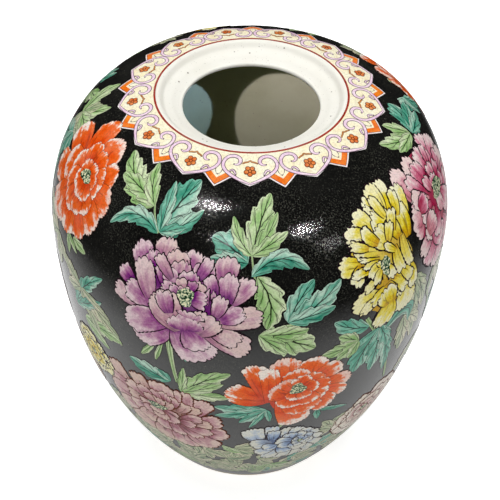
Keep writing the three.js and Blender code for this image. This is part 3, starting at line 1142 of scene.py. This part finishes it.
# Each petal: root across and up, tip across and up, width, paleness.
# The heart and the hollows: place, half width, half height.
BLOOMS = {
    "purple": {
        "heart": (0.6, 0, 5.0, 6.2),
        "hollows": [(0, -2, 22, 20), (22, -12, 12, 10), (-20, -10, 14, 11)],
        "petals": [
            (-24, 10, -36, 26, 17, 0.25), (-16, 18, -16, 34, 18, 0), (3, 14, 4, 30.5, 17, 0.1),
            (-6, 14, -9, 28, 19, 0.1), (-20, 11, -25, 24, 13, 0), (-34, -2, -46, 6, 12, 0),
            (-28, -15, -49, -9, 13, 0.35), (-20, -12, -41, -5, 17, 0.2), (-22, -8, -31, 17.5, 15, 0.3),
            (-8, -23, -32, -44, 19, 0.3), (-10, -20, -40, -33, 21, 0.3), (-3, -23, 14, -49, 29, 0.25),
            (3, -23, 13, -38.5, 23, 0.35), (14, -22, 41, -35, 20, 0.25), (16, -19, 35, -29, 15, 0.35),
            (22, -14, 48, -7, 17, 0.3), (22, -12, 37, -3, 14, 0.3), (28, 0, 42, 16, 14, 0.2),
            (24, 12, 26, 29.5, 17, 0), (26, 0, 27.5, 19.5, 14, 0), (12, 9, 9, 25, 15, 0),
            (-14, 4, -18.5, 17.5, 10, 0), (-4, 11, -4.5, 23, 15, 0), (18, 1, 13, 17.5, 10, 0),
            (-5, 3, -13, 15.5, 12, 0.1), (-9, 9, -22, 22, 9, 0), (7, 12, 15, 27, 9, 0),
            (1, 6, 2.5, 18, 14, 0.1), (18, -3, 16.5, 8.5, 4.5, 0.35), (14, -3, 13.5, 9, 4.5, 0.35),
            (-4, -2, -16.5, 5, 13, 0.05), (6, 1, 11.5, 11.5, 9, 0), (-1, 4, -4, 12.5, 9, 0.05),
            (3, 4, 5.5, 12.5, 8, 0), (-3, -1, -11.5, 5, 10, 0), (4, -1, 15.5, -1, 14, 0),
            (-1, 3, -1, 8.5, 9, 0), (19, -10, 23, 6, 11, 0.2), (8, -24, 19, -8.5, 21, 0.1),
            (-1, -24, -18, 0, 23, 0.1), (1, -24, 0, -11, 24, 0.15), (-9, -14, -15, 2, 13, 0.1),
            (4, -14, 5, -7.5, 19, 0.4),
        ],
    },
    "orange_low": {
        "heart": (0.5, 0, 5.2, 5.6),
        "hollows": [(2, -4, 22, 20)],
        "petals": [
            (-18, -8, -45.5, 1, 21, 0), (-20, -5, -29, 28, 16, 0.1), (-7, 8, -9, 33, 20, 0),
            (6, 8, 12, 29, 19, 0.15), (10, 4, 29, 16, 16, 0.1), (14, -3, 38, -2, 15, 0.15),
            (14, -8, 36, -16, 12, 0.2), (8, -12, 26, -29, 20, 0.15), (-8, -10, 3, -44, 23, 0),
            (-17, -12, -19, 25, 13, 0), (6, -6, 22, -12, 16, 0.1), (2, -8, 8, -31, 26, 0),
            (-2, -6, -7, -21, 18, 0), (-4, -4, -16, 5, 24, 0), (0, 5, -2, 21, 18, 0.1), (4, 2, 17, 11, 16, 0),
            (5, 0, 23, -5, 18, 0.05), (4, -4, 12, -20, 15, 0.05), (-2, 0, -10, 11, 13, 0),
            (0, 3, 7, 13, 12, 0), (4, -1, 15, 1, 13, 0), (1, -3, -5, -12, 12, 0), (2, -3, 8, -12, 11, 0),
            (0, 3, -2.5, 11, 6, 0.25),
        ],
    },
    "orange_left": {
        "heart": (-2, 1, 7, 4),
        "hollows": [(-2, -2, 26, 24)],
        "petals": [
            (-20, 0, -53, 12, 22, 0.2), (-14, 8, -27, 36, 23, 0.1), (-18, -8, -50, -18, 22, 0.3),
            (1, 14, 3, 33.5, 28, 0.2), (10, 4, 24, 18, 19, 0.1), (12, -2, 34, -4, 20, 0.1),
            (8, -8, 28, -23, 20, 0.1), (6, -18, 16, -35, 17, 0.15), (-14, -14, -26, -42, 26, 0.4),
            (-2, -18, -4, -41, 22, 0.25), (-14, 0, -37, -7, 24, 0.2), (-8, 0, -26, 5, 19, 0.1),
            (-6, 6, -17, 20, 16, 0), (-6, -4, -21, -14, 18, 0.1), (-4, -8, -8, -26, 16, 0.05),
            (0, 6, 3, 21, 18, 0), (4, 2, 17.5, 9, 17, 0), (5, -2, 18, -4, 15, 0), (4, -6, 16, -17, 15, 0),
            (2, -8, 3, -24, 14, 0), (-4, 2, -12, 9, 12, 0), (-4, -1, -13, -7, 12, 0), (0, 2, 3, 12, 11, 0.1),
            (3, 0, 12, 3, 12, 0), (2, -2, 9, -12, 14, 0), (-1, -2, -3, -14, 13, 0),
        ],
    },
    "yellow": {
        "heart": (2, -1.5, 3.8, 6.4),
        "hollows": [(2, 12, 23, 20), (14, -8, 14, 22), (0, -22, 14, 12)],
        "petals": [
            (28, 16, 32.5, 40, 16, 0.35), (4, 30, 1, 44, 13, 0.3), (18, 28, 20.5, 48.5, 14, 0.3),
            (12, 28, 9.5, 49, 15, 0.25), (4, 24, -4, 38, 12, 0.2), (-2, 24, -15, 36, 17, 0.3),
            (-6, 20, -25, 26, 13, 0.15), (-16, 6, -33, 10, 15, 0), (-16, 6, -22, -8, 12, 0),
            (26, 6, 25, 31, 14, 0), (12, 18, 2, 34, 19, 0.25), (-2, 9, -20, 17, 13, 0.2),
            (18, 10, 11, 26, 12, 0), (8, 10, -2, 23, 17, 0.1), (18, -24, 17, -46, 21, 0.35),
            (4, -28, -4, -48, 19, 0.25), (-4, -20, -26, -21, 18, 0.3), (22, -10, 26, -32, 11, 0.2),
            (12, -14, 14, -31, 12, 0.2), (-6, -22, -20, -27, 10, 0.3), (12, 26, 6, 42, 9, 0.2),
            (22, 22, 27, 39, 10, 0.1), (-8, 14, -23, 21, 8, 0.1), (0, 14, -11, 27, 10, 0.1),
            (14, 16, 20, 30, 10, 0), (6, -12, 21, -27, 13, 0.2), (15, -10, 25, -23, 10, 0.1),
            (2, -14, 7, -30, 12, 0.1), (0, -16, -12, -25, 9, 0.25), (8, 12, 14, 24, 9, 0),
            (-6, 0, -25, 1, 8, 0.1), (-4, -4, -17, -13, 8, 0.1), (-2, 5, -18, 10, 5, 0.3),
            (-2, 3, -16, 4, 6, 0.3), (-3, 2, -12, -6, 10, 0.2), (-2, -2, -8, -12, 8, 0.1),
            (20, 10, 23.5, -14, 10, 0), (12, 7, 15.5, -14, 10, 0), (12, 4, 3, 12, 7, 0.1),
            (3, -2, 8, -14, 9, 0.35), (4, -30, 0.5, -15, 18, 0.15), (-2, 0, -4, 5, 5, 0.2),
        ],
    },
    "pink": {
        "heart": (1, -1, 9, 6.2),
        "hollows": [(-10, 4, 24, 22), (6, -12, 22, 20), (-22, -16, 12, 13)],
        "petals": [
            (-30, 8, -38, 35, 18, 0), (12, 8, 22, 31, 20, 0.15), (10, 2, 36, 19, 20, 0.2),
            (12, -2, 40, 3, 20, 0.25), (12, -6, 38, -14, 20, 0.25), (6, -16, 27, -36, 24, 0.25),
            (-4, -24, 6, -46, 24, 0.25), (-14, -24, -16, -51, 24, 0.2), (-18, -20, -35, -39, 18, 0.2),
            (-22, -18, -41, -27, 14, 0.2), (-29, -2, -43, 2, 32, 0), (-16, 16, -19, 34.5, 19, 0.3),
            (0, 14, 0, 31, 18, 0.1), (-12, 8, -15, 28, 18, 0), (8, 8, 9, 26, 13, 0.05),
            (-16, 4, -31, 25, 13, 0.1), (-16, 0, -35, 13, 14, 0.1), (-14, -4, -33, -6, 15, 0.05),
            (-12, -8, -31, -21, 15, 0.1), (-22, -16, -3, -35, 18, 0.15), (-8, -8, -15, -30, 14, 0.1),
            (14, -8, 30, -9, 11, 0.1), (12, 4, 28, 12, 11, 0.1), (4, 12, 13, 27, 9, 0.1),
            (4, -8, 19, -25, 18, 0.2), (-28, -16, -12, -11, 18, 0), (-31, 2, -16.5, 4, 14, 0),
            (2, 5, 2.5, 18, 13, 0.05), (-8, 3, -12.5, 15.5, 11, 0.1), (8, 2, 16, 12, 11, 0.1),
            (8, -2, 18, -2, 12, 0.15), (0, 0, 0, 11, 14, 0), (3, -17, -5, -3, 13, 0.3),
        ],
    },
    "mauve": {
        "heart": (-12, 6.5, 7.6, 3.8),
        "hollows": [(-8, 0, 30, 28)],
        "petals": [
            (-30, 10, -46, 37, 15, 0.2), (-28, 6, -55, 15, 19, 0.25), (-26, 0, -56, -3, 25, 0.25),
            (-24, -8, -51, -23, 21, 0.25), (-18, -12, -39, -40, 25, 0.2), (-8, -16, -14, -48, 23, 0.2),
            (2, -16, 6, -48, 25, 0.2), (10, -16, 29, -39, 23, 0.2), (20, -12, 40, -13, 20, 0.1),
            (16, 0, 36, 8, 18, 0.2), (14, 8, 26, 31, 17, 0.25), (9, 12, 12, 37, 11, 0.2),
            (4, 14, 5, 36, 10, 0.15), (-8, 12, -6, 39, 20, 0), (-18, 16, -26, 38, 15, 0.2),
            (-18, 8, -37, 21, 15, 0.15), (-20, 4, -39, 6, 15, 0.15), (-18, 0, -37, -11, 17, 0.15),
            (-16, -6, -29, -25, 17, 0.15), (-8, -8, -12, -28, 17, 0.1), (-2, -10, 4, -29, 17, 0.1),
            (4, -10, 19, -25, 15, 0.1), (8, -8, 28, -15, 14, 0.15), (10, -4, 29, 0, 13, 0.2),
            (8, 4, 20, 21, 11, 0.1), (4, 8, 12, 23, 12, 0), (-2, 10, 4, 26, 11, 0), (-8, 12, -4, 29, 13, 0),
            (-12, 12, -14, 27, 13, 0.1), (-14, 12, -25, 25, 13, 0.1), (6, 0, 22, 7, 12, 0.05),
            (4, -4, 17, -6, 12, 0.1), (-6, 6, 0, 19, 10, 0), (-12, 8, -9, 20, 13, 0.1),
            (-13, 8, -20, 19, 10, 0.1), (-16, 5, -28, 3, 11, 0.2), (-14, 2, -24, -9, 14, 0.15),
            (-8, 3, 5, -1, 12, 0), (-8, 2, 2, -12, 14, 0.05), (-12, 2, -10, -13, 15, 0.1),
            (-12, 4, -14, -6, 14, 0.3),
        ],
    },
    "blue": {
        "heart": (14, -1, 2.4, 2.6),
        "hollows": [(2, -4, 22, 20)],
        "petals": [
            (-18, 8, -23, 29, 19, 0.5), (-9, 10, -9, 31, 12, 0.5), (2, 8, 1, 27, 13, 0.5),
            (6, 8, 12, 24, 14, 0.5), (10, 6, 22, 17, 14, 0.5), (12, 4, 30, 7, 13, 0.5),
            (13, 0, 34, -6, 14, 0.45), (12, -4, 35, -20, 15, 0.4), (10, -8, 27, -29, 17, 0.4),
            (6, -8, 14, -32, 18, 0.4), (2, -8, 1, -33, 17, 0.45), (-2, -8, -11, -30, 15, 0.5),
            (-6, -6, -20, -18, 14, 0.35), (-8, 4, -25, -1, 18, 0.1), (-8, 6, -7, 24, 11, 0.05),
            (-4, -2, -15, -8, 15, 0.3), (0, -4, 8, -21, 18, 0.1), (6, -2, 20, -19, 14, 0.25),
            (8, 2, 26, -8, 13, 0.25), (8, 4, 25, 4, 12, 0.25), (8, 4, 16, 15, 12, 0.25),
            (4, 4, 6, 17, 13, 0.1), (8, 0, -6, 6, 13, 0.2), (8, -2, -3, -8, 14, 0.2),
            (12, -2, 8, -13, 11, 0.15), (13, -2, 16, -12, 10, 0.2), (14, -1, 22, -6, 9, 0.2),
            (14, 0, 21, 4, 9, 0.1), (13, 1, 13, 9, 9, 0.1), (12, 0, 6, 3, 9, 0.1), (13, -1, 7, -5, 8, 0.1),
        ],
    },
    "blush": {"heart": (0, 0, 3.2, 3.2), "petals": fanned(
        [
            (207, 16, 32), (180, 14, 28), (150, 13, 24), (115, 14, 25), (90, 13, 21), (65, 13, 30),
            (40, 13, 34), (15, 13, 36), (-10, 13, 38), (-35, 13, 39), (-60, 13, 40), (-85, 13, 38),
            (-110, 13, 36), (-132, 13, 34),
        ],
        [(8, 9, 18), (7, 4, 11)],
    )},
    "yellow_small": {"heart": (0, 0, 2.6, 2.6), "petals": fanned(
        [(turn, 17, 23 + 2 * math.sin(turn)) for turn in range(0, 360, 30)],
        [(7, 6, 15), (5, 3, 9)],
    )},
}

FRONT_HALF_ANGLE = 80  # degrees each side of the front where petals have the finest outlines

# (chart place, form, colour, turn, size, level of the lowest coat)
FLOWERS = [
    ((-61, 59), "orange_left", "orange", 0, 1.0, 10),
    ((-16.5, 92), "purple", "purple", 0, 1.0, 12),
    ((39, 87), "yellow", "yellow", 0, 1.0, 11),
    ((72, 76), "pink", "pink", 0, 1.0, 10),
    ((14, 167), "orange_low", "orange", 0, 1.0, 9),
    ((-22, 212), "mauve", "mauve", 0, 1.0, 8),
    ((12, 240), "blue", "blue", 0, 1.0, 6),
    ((42, 232), "blush", "blush", 0, 1.0, 7),
    ((-52, 190), "yellow_small", "yellow", 0, 1.0, 9),
    ((112, 128), "yellow_small", "yellow", 40, 1.25, 9),
    ((118, 68), "orange_low", "orange", 150, 1.0, 10),
    ((160, 92), "purple", "purple", 25, 1.0, 12),
    ((205, 66), "yellow", "yellow", 200, 0.95, 11),
    ((246, 96), "pink", "pink", 95, 1.0, 10),
    ((133, 170), "mauve", "mauve", 60, 0.95, 8),
    ((184, 168), "orange_low", "orange", 40, 1.1, 9),
    ((226, 172), "blue", "blue", 110, 1.45, 7),
    ((101, 180), "yellow_small", "blush", 15, 1.5, 8),
    ((-88, 172), "mauve", "pink", 170, 0.85, 8),
    ((86, 226), "blue", "blue", 60, 1.15, 6),
    ((160, 228), "blush", "yellow", 120, 1.0, 6),
    ((205, 232), "mauve", "mauve", 30, 0.8, 6),
    ((-66, 232), "blush", "blush", 190, 0.95, 6),
    ((250, 232), "orange_left", "orange", 75, 0.8, 6),
    ((122, 236), "yellow_small", "pink", 50, 1.3, 6),
]


def peonies():
    hearts = Sheet()
    sheets = {colour: Sheet() for colour in PETALS}
    for order, (at, form, colour, turn, size, level) in enumerate(FLOWERS):
        fine = abs(at[0]) < FRONT_HALF_ANGLE
        own_level = level + 0.047 * (order % 9)  # so that flowers that overlap never lie at one height
        peony(sheets[colour], hearts, at, colour, BLOOMS[form], turn, size, own_level, 40 + order, fine)
    for colour, sheet in sheets.items():
        enamel = petal_enamel(colour + "_enamel", *PETALS[colour])
        line = BROWN_INK if colour in ("orange", "blush", "mauve") else DARK_INK
        lay_on_jar(sheet, colour + "_peonies", enamel, line)
    lay_on_jar(hearts, "peony_hearts", PISTIL, DARK_INK)


peonies()


# ---------------------------------------------------------------- leaves

# (tint, root, [(tip, width, bend)])
SPRAYS = [
    ("light", (-31.5, 46), [((-53, 25), 12, 3), ((-49, 39), 9, -2), ((-39.5, 22), 9, 2)]),
    ("teal", (-27, 59), [((-19, 23), 16, 2), ((-28.5, 28), 8, -1), ((-15, 40), 8, -2), ((-19.5, 52), 6, 0)]),
    ("teal", (-27.5, 60), [((-44, 68), 7.5, -9)]),
    ("teal", (1, 75), [((17, 74), 8, 9)]),
    ("light", (1, 63), [((8, 27.5), 12, 2), ((9.5, 39), 7, -1), ((12, 50.5), 7, 0), ((-5, 41), 7, 2)]),
    ("teal", (0, 67), [((-11, 54), 12, -2), ((-11, 66), 8, 0)]),
    ("light", (2.5, 75), [((5, 110), 12, 5)]),
    ("teal", (10.5, 106), [((18, 80), 9, 2), ((25.5, 84), 12, -2), ((23.5, 101), 9, 0)]),
    ("light", (3, 114), [((18, 130), 16, 2), ((16, 113), 10, -1), ((10.5, 131), 9, 0)]),
    ("teal", (34, 128), [((23, 113), 9, 2)]),
    ("light", (31, 137), [((24.5, 126), 7, 0), ((20, 139), 9, 1), ((24.5, 148), 8, 0), ((28, 150), 6, 0)]),
    ("teal", (38, 134), [((31, 168), 14, -3), ((37, 176), 12, 1), ((43, 186), 9, 3), ((42, 158), 8, 1)]),
    ("sage", (52, 112), [((58, 150), 9, 2), ((55, 175), 10, -2)]),
    ("sage", (48, 140), [((49, 176), 10, 1), ((58, 165), 8, 2)]),
    ("sage", (-52, 128), [
        ((-36, 154), 9, 2), ((-45, 160), 8, 0), ((-40, 136), 6, 1), ((-62, 116), 9, 0), ((-60, 136), 8, 0),
    ]),
    ("sage", (-67, 108), [((-80, 96), 9, 2), ((-77, 116), 9, 0), ((-66, 134), 9, 1), ((-57, 124), 7, -1)]),
    ("teal", (-84, 104), [((-90, 70), 11, 2), ((-97, 92), 9, 0), ((-82, 128), 9, 1)]),
    ("sage", (64, 122), [((70, 152), 9, 2), ((78, 138), 9, -1), ((61, 148), 8, 0)]),
    ("teal", (68, 152), [((78, 182), 10, 2), ((82, 162), 9, 0), ((68, 186), 9, -2)]),
    ("sage", (60, 186), [((52, 208), 9, 2), ((63, 214), 9, 0), ((72, 204), 9, -2)]),
    ("light", (79, 42), [((62, 27), 9, 2), ((73, 23), 9, 0), ((66, 40), 7, 0)]),
    ("teal", (80, 44), [((90, 25), 14, -2), ((96, 38), 10, 0), ((95, 48), 8, 0)]),
    ("light", (-60, 97), [((-58, 110), 4, 0), ((-54, 104), 4, 0)]),
    ("light", (-57, 96), [((-50, 98), 5, 0)]),
    ("teal", (-56, 150), [((-42, 105), 8, 4), ((-42.5, 125), 7, 0)]),
    ("light", (-52, 155), [((-36, 152), 9, 2), ((-42, 168), 8, 0)]),
    ("teal", (-21, 168), [((-34, 160), 10, 1), ((-25, 160), 6, 0)]),
    ("light", (-18, 177), [((-4, 149), 10, 3), ((-17, 150), 5, 0), ((-4, 174), 8, 0), ((-6, 160), 7, 0)]),
    ("teal", (6, 188), [
        ((-9, 186), 9, 1), ((-9, 197), 8, 0), ((-2, 204), 7, 0), ((1, 211), 4, 0), ((7, 203), 4, 0),
    ]),
    ("teal", (21, 198), [((22, 212), 4, 0), ((32, 208), 4, 0), ((28, 203), 3, 0)]),
    ("teal", (-19, 120), [((-16, 144), 3.5, 0)]),
    ("light", (-92, 52), [((-100, 24), 12, 2), ((-84, 27), 11, -2), ((-80, 46), 9, 0)]),
    ("teal", (-86, 60), [((-100, 76), 12, 2), ((-88, 90), 11, -2), ((-76, 82), 9, 0)]),
]

# Folded leaves that arch over: (tint, points along the leaf, widths)
ARCHES = [
    ("teal", [(40, 140), (45, 133), (50, 137), (50.5, 150)], [4, 10, 11, 0.8]),
]

# Stems: (points, widths)
STEMS = [
    ([(-32, 44), (-30, 52), (-27, 60)], [1.6, 1.8, 2.4]),
    ([(-19.5, 115), (-20.5, 130), (-20, 150), (-19, 168)], [6, 4.6, 3.2, 2.6]),
    ([(1, 63), (1.5, 72), (2.5, 82)], [1.6, 1.8, 2.0]),
    ([(14, 200), (10, 214), (11, 226)], [3.4, 2.6, 2.4]),
    ([(33, 120), (36, 134), (42, 160), (46, 200)], [3.6, 3.0, 2.4, 2.4]),
    ([(66, 118), (62, 140), (66, 170)], [3.4, 2.6, 2.4]),
    ([(-24.5, 133), (-26, 139), (-28, 146), (-29.5, 151)], [1.0, 4.5, 5.5, 1.0]),
    ([(-22.5, 132), (-23.4, 138), (-24.4, 145), (-25, 151)], [1.0, 3.6, 4.4, 0.8]),
]


FIRST_BLADE = 1.7  # how much broader than its listed width a spray's first blade is painted
OTHER_BLADES = 1.5


def spray(sheets, colour, root, blades, level, rng, fine=True):
    for order, (tip, width, bend) in enumerate(blades):
        reach = np.linalg.norm(chart_point(tip) - chart_point(root))
        lobes = max(2, round(reach / 10))
        broad = width * (OTHER_BLADES if order else FIRST_BLADE)
        blade(sheets[colour], root, tip, broad, bend, lobes, level + order, rng, fine)


def wild_spray(sheets, at, colour, reach, turn, level, rng):
    """A spray of four blades fanned about a root."""
    middle = chart_point(at)
    blades = []
    for order in range(4):
        angle = math.radians(turn + (order - 1.5) * 44 + rng.uniform(-10, 10))
        far = reach * rng.uniform(0.75, 1.15)
        tip = middle + far * np.array([math.cos(angle), math.sin(angle)])
        place = (math.degrees(tip[0] / BELLY_RADIUS), -tip[1])
        blades.append((place, far * rng.uniform(0.36, 0.5), rng.uniform(-2.5, 2.5)))
    spray(sheets, colour, at, blades, level, rng, False)


def leaves():
    rng = np.random.default_rng(11)
    sheets = {name: Sheet() for name in LEAVES}
    for order, (colour, root, blades) in enumerate(SPRAYS):
        spray(sheets, colour, root, blades, 3.05 + 0.13 * (order % 7), rng)
    for order, (colour, points, widths) in enumerate(ARCHES):
        ribbon(sheets[colour], [chart_point(p) for p in points], widths, 6.5 + 0.3 * order, rng, 0.42)
    for order, (points, widths) in enumerate(STEMS):
        ribbon(sheets["light"], [chart_point(p) for p in points], widths, 2 + 0.12 * order, rng, 0.36)
    tints = ["sage", "light", "teal"]
    for row, down in enumerate((314, 300, 287, 274, 260, 245)):
        for order in range(30):
            azimuth = -180 + 12 * (order + 0.5 * (row % 2)) + rng.uniform(-3, 3)
            colour = tints[(order * 2 + row) % 3] if rng.random() < 0.42 else "sage"
            at = (azimuth, down + rng.uniform(-5, 5))
            level = -1.4 + 0.4 * row + 0.012 * order
            wild_spray(sheets, at, colour, rng.uniform(19, 28), rng.uniform(0, 360), level, rng)
    for azimuth in range(100, 270, 11):
        for down in (48, 120, 150, 200):
            colour = tints[int(rng.integers(3))]
            at = (azimuth + rng.uniform(-4, 4), down + rng.uniform(-9, 9))
            reach = rng.uniform(16, 26)
            wild_spray(sheets, at, colour, reach, rng.uniform(0, 360), rng.uniform(0.6, 2.6), rng)
    for colour, sheet in sheets.items():
        slot = "teal_enamel" if colour == "teal" else "leaf_green_enamel"
        lay_on_jar(sheet, colour + "_leaves", leaf_enamel(*LEAVES[colour]), DARK_INK)


leaves()
bpy.data.objects.remove(wall_line)


# ---------------------------------------------------------------- floor, light and camera

WHITE = (1, 1, 1, 1)
UNLIT = 0.012
FLOOR_REACH = 6  # metres from the middle to each side
TABLE_RADIUS = 0.42  # how far the white table reaches, as polished surfaces show it
LAMP_DISTANCE = 2.4
SOFT_DISTANCE = 2.6


def floor():
    """A white floor. In polished surfaces only the table under the jar shows, with a painted shadow that
    darkens it close to the jar, and dark beyond it.
    """
    mesh = bpy.data.meshes.new("floor")
    corners = [(-1, -1), (1, -1), (1, 1), (-1, 1)]
    mesh.from_pydata([(x * FLOOR_REACH, y * FLOOR_REACH, 0) for x, y in corners], [], [(0, 1, 2, 3)])
    paper = Material("floor_paper")
    paper.give({
        "Base Color": tint(250, 250, 249),
        "Roughness": 0.9,
        "Specular IOR Level": 0.0,
        "Emission Color": WHITE,
        "Emission Strength": 0.55,
    })
    x, y, _ = paper.place.split()
    away = (x**2.0 + y**2.0).calc("SQRT") / (2 * TABLE_RADIUS)
    # Painted shadow: the table seen in reflections is dim close to the jar, where the jar's shadow would
    # fall, and brightest further out.
    table_with_painted_shadow = away.ramp((0.1, 0.36), (0.18, 0.75), (0.28, 1.05), (0.75, UNLIT))
    polished = paper.wire("ShaderNodeEmission", {"Color": WHITE, "Strength": table_with_painted_shadow})
    unlit = paper.wire("ShaderNodeEmission", {"Color": WHITE, "Strength": UNLIT})
    lit = Wire(paper, paper.shader.outputs[0])
    dimmed = paper.mix_shaders(paper.on_rays("Diffuse") * 0.6, lit, unlit)
    mixed = paper.mix_shaders(paper.on_rays("Glossy"), dimmed, polished)
    paper.feed(paper.tree.nodes["Material Output"].inputs["Surface"], mixed)
    mesh.materials.append(paper.material)
    placed("floor", mesh)


def surroundings():
    """White all round for soft light and behind the jar, and dark in polished surfaces."""
    world = bpy.data.worlds.new("studio")
    bpy.context.scene.world = world
    world.use_nodes = True
    studio = Nodes(world.node_tree)
    tent = studio.tree.nodes["Background"]
    height = studio.wire("ShaderNodeTexCoord", output="Generated").split()[2]
    studio.feed(tent.inputs["Color"], height.ramp((0.0, 0.3), (0.6, 1.0)))
    tent.inputs["Strength"].default_value = 0.62
    flags = studio.wire("ShaderNodeBackground", {"Color": (0.02, 0.02, 0.021, 1), "Strength": 1.0})
    backdrop = studio.wire("ShaderNodeBackground", {"Color": WHITE, "Strength": 1.0})
    lit = studio.mix_shaders(studio.on_rays("Glossy"), Wire(studio, tent.outputs[0]), flags)
    seen = studio.mix_shaders(studio.on_rays("Camera"), lit, backdrop)
    studio.feed(studio.tree.nodes["World Output"].inputs["Surface"], seen)


def new_light(name, kind, watts, place, way):
    light = bpy.data.lights.new(name, kind)
    light.energy = watts
    made = placed(name, light)
    made.location = place
    made.rotation_euler = way.to_track_quat("Z", "Y").to_euler()
    return made


def lamp(name, target, elevation, azimuth, distance, size, watts, in_reflections):
    """A square lamp in a direction from a point on the jar: either a glint in the glaze, or soft light."""
    rise = math.radians(elevation)
    turn = math.radians(azimuth)
    way = Vector((math.cos(rise) * math.sin(turn), -math.cos(rise) * math.cos(turn), math.sin(rise)))
    made = new_light(name, "AREA", watts, Vector(target) * MM + way * distance, way)
    made.data.size = size
    made.visible_glossy = in_reflections
    made.visible_diffuse = not in_reflections


def soft_lamp(name, elevation, azimuth, size, watts):
    lamp(name, (0, 0, JAR_HEIGHT / 2), elevation, azimuth, SOFT_DISTANCE, size, watts, False)


def glint(name, target, elevation, azimuth, size, watts):
    lamp(name, target, elevation, azimuth, LAMP_DISTANCE, size, watts, True)


def inner_spot(name, patch, half_width, watts, colour):
    """A narrow lamp just under the mouth that lights a round patch of the inside wall."""
    patch = Vector(patch) * MM
    mouth = Vector((0, 0, JAR_HEIGHT - 9)) * MM
    way = (mouth - patch).normalized()
    distance = (mouth - patch).length - 0.03
    made = new_light(name, "SPOT", watts, patch + way * distance, way)
    made.data.color = colour
    made.data.spot_size = 2 * math.atan(half_width * MM / distance)
    made.data.spot_blend = 0.14
    made.data.shadow_soft_size = 0.001
    made.visible_glossy = False
    made.visible_camera = False


def lights():
    left_shoulder = (-20.3, -92.4, 288.1)
    soft_lamp("overhead", 77, 180, 2.4, 34)
    soft_lamp("front_fill", 36, -10, 1.8, 17.5)
    glint("glint_left", left_shoulder, 68.9, -45.2, 0.06, 12)
    glint("glint_front", (-12, -107.5, 276.5), 39.5, -14.0, 0.06, 14)
    glint("glint_right", (30.7, -101.1, 279.2), 43.1, 37.9, 0.06, 12)
    glint("glint_far_right", (46.3, -102.6, 271.1), 22.9, 47.8, 0.05, 1.8)
    glint("shoulder_sheen", left_shoulder, 66, -50, 1.0, 1.4)
    inner_spot("inner_patch_middle", (24, 121.8, 191.6), 39, 0.8, (0.7, 0.62, 1.0))
    inner_spot("inner_patch_left", (-53.5, 112.3, 199.2), 26, 1.0, (0.32, 0.46, 1.0))


def camera():
    pitch = math.radians(44.02)
    roll = math.radians(1.08)
    right = Vector((1, 0, 0))
    up = Vector((0, math.sin(pitch), math.cos(pitch)))
    back = Vector((0, -math.cos(pitch), math.sin(pitch)))
    rolled_right = right * math.cos(roll) + up * math.sin(roll)
    rolled_up = up * math.cos(roll) - right * math.sin(roll)
    data = bpy.data.cameras.new("camera")
    data.lens = 75.6
    data.sensor_width = 36
    data.dof.use_dof = False
    made = placed("camera", data)
    made.rotation_euler = Matrix((rolled_right, rolled_up, back)).transposed().to_euler()
    made.location = (0.83 * MM, -530.5 * MM, 677.9 * MM)
    bpy.context.scene.camera = made


floor()
surroundings()
lights()
camera()
bpy.context.scene.view_settings.view_transform = "Standard"
